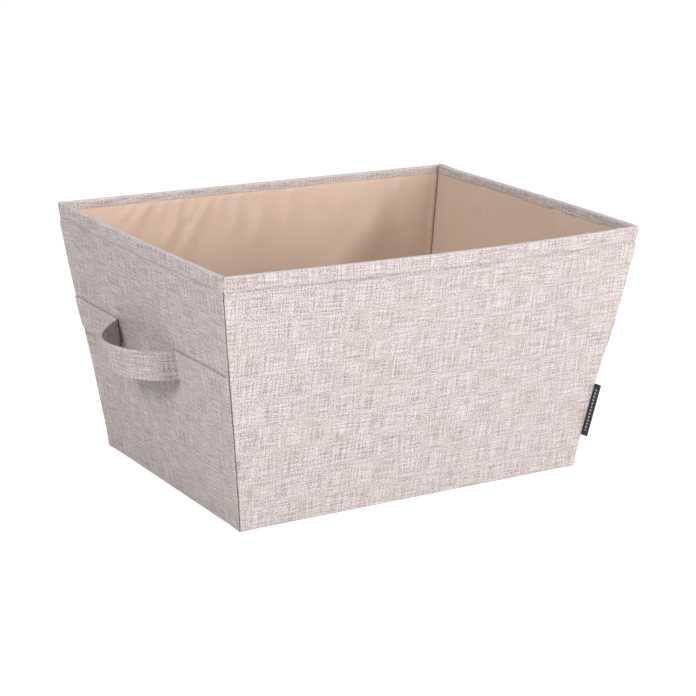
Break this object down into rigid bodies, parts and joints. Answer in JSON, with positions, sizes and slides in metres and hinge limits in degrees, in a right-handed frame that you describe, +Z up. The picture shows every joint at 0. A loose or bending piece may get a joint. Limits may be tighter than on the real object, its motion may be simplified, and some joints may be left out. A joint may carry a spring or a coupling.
{
  "type": "fabric storage bin",
  "caption": "Tapered open-topped storage bin of board-stiffened, lined cloth, with a bound rim, a cloth carrying loop on each short side and a lift-out base board.",
  "frame": {"origin": "centre of the flat underside, on the surface that the bin stands on", "axes": "+Z up out of the bin's mouth; +X along the long walls, towards the wall that the side label is next to; +Y from the labelled front wall to the back wall"},
  "size_m": [0.455, 0.3099, 0.2185],
  "materials": {
    "linen": "plain-weave melange, pale pinkish grey",
    "lining_cloth": "smooth plain weave, tan",
    "greyboard": "raw pressed board",
    "label_ribbon": "black woven ribbon"
  },
  "bodies": {
    "bin_body": {"front_outer": "linen", "back_outer": "linen", "left_outer": "linen", "right_outer": "linen", "base_outer": "linen", "front_board": "greyboard", "back_board": "greyboard", "left_board": "greyboard", "right_board": "greyboard", "front_lining": "lining_cloth", "back_lining": "lining_cloth", "left_lining": "lining_cloth", "right_lining": "lining_cloth", "base_lining": "lining_cloth", "rim_binding": "linen", "left_band_front": "linen", "left_band_rear": "linen", "right_band_front": "linen", "right_band_rear": "linen"},
    "left_handle": {"left_handle_loop": "linen"},
    "right_handle": {"right_handle_loop": "linen"},
    "base_insert": {"insert_board": "greyboard", "insert_cover": "lining_cloth"},
    "label": {"side_label": "label_ribbon"}
  },
  "joints": [
    {"name": "left_handle_lift", "type": "hinge", "parent": "bin_body", "child": "left_handle", "pos_m": [-0.1893, 0.00125, 0.1362], "axis": [0, 1, 0], "range_deg": [0, 70]},
    {"name": "right_handle_lift", "type": "hinge", "parent": "bin_body", "child": "right_handle", "pos_m": [0.1893, 0.00125, 0.1362], "axis": [0, -1, 0], "range_deg": [0, 70]},
    {"name": "insert_lift", "type": "slide", "parent": "bin_body", "child": "base_insert", "axis": [0, 0, 1], "range_m": [0, 0.235]},
    {"name": "label_fold", "type": "hinge", "parent": "bin_body", "child": "label", "pos_m": [0.17433, -0.12686, 0.0535], "axis": [0.1472, -0.1321, 0.9803], "range_deg": [-70, 70], "stiffness_Nm_per_rad": 0.00005}
  ]
}
